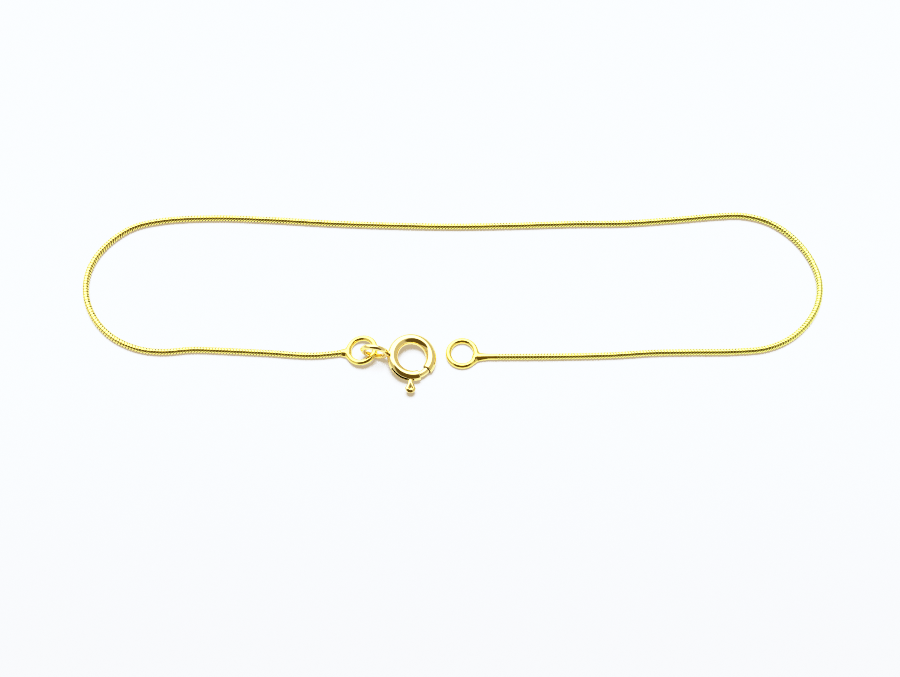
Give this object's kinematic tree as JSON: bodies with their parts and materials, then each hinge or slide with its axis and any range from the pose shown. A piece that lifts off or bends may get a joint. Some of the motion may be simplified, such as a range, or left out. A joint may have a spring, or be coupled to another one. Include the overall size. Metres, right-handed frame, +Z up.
{
  "type": "chain bracelet",
  "caption": "Fine round snake chain bracelet, unfastened and lying in a long loop, with a spring ring clasp on its link ring and a plain ring at the free end.",
  "frame": {"origin": "middle of the bracelet's box, on the surface that it lies on", "axes": "+X along the loop's long way from the clasp towards the free end's ring, +Y from the clasp across the loop, +Z up from the surface"},
  "size_m": [0.0838, 0.0227, 0.0032],
  "materials": {
    "chain_gold": "bright plated gold links",
    "ring_gold": "polished plated gold wire",
    "clasp_gold": "polished plated gold"
  },
  "bodies": {
    "bracelet": {"snake_chain": "chain_gold", "free_end_ring": "ring_gold", "link_ring": "ring_gold", "clasp_ring": "clasp_gold"},
    "bolt": {"clasp_bolt": "clasp_gold"}
  },
  "joints": [
    {"name": "bolt_pull", "type": "hinge", "parent": "bracelet", "child": "bolt", "pos_m": [-0.00454, -0.00718, 0.00097], "axis": [-0.1495, 0.069, -0.9863], "range_deg": [0, 48], "stiffness_Nm_per_rad": 0.002, "springref_deg": -28.65}
  ]
}
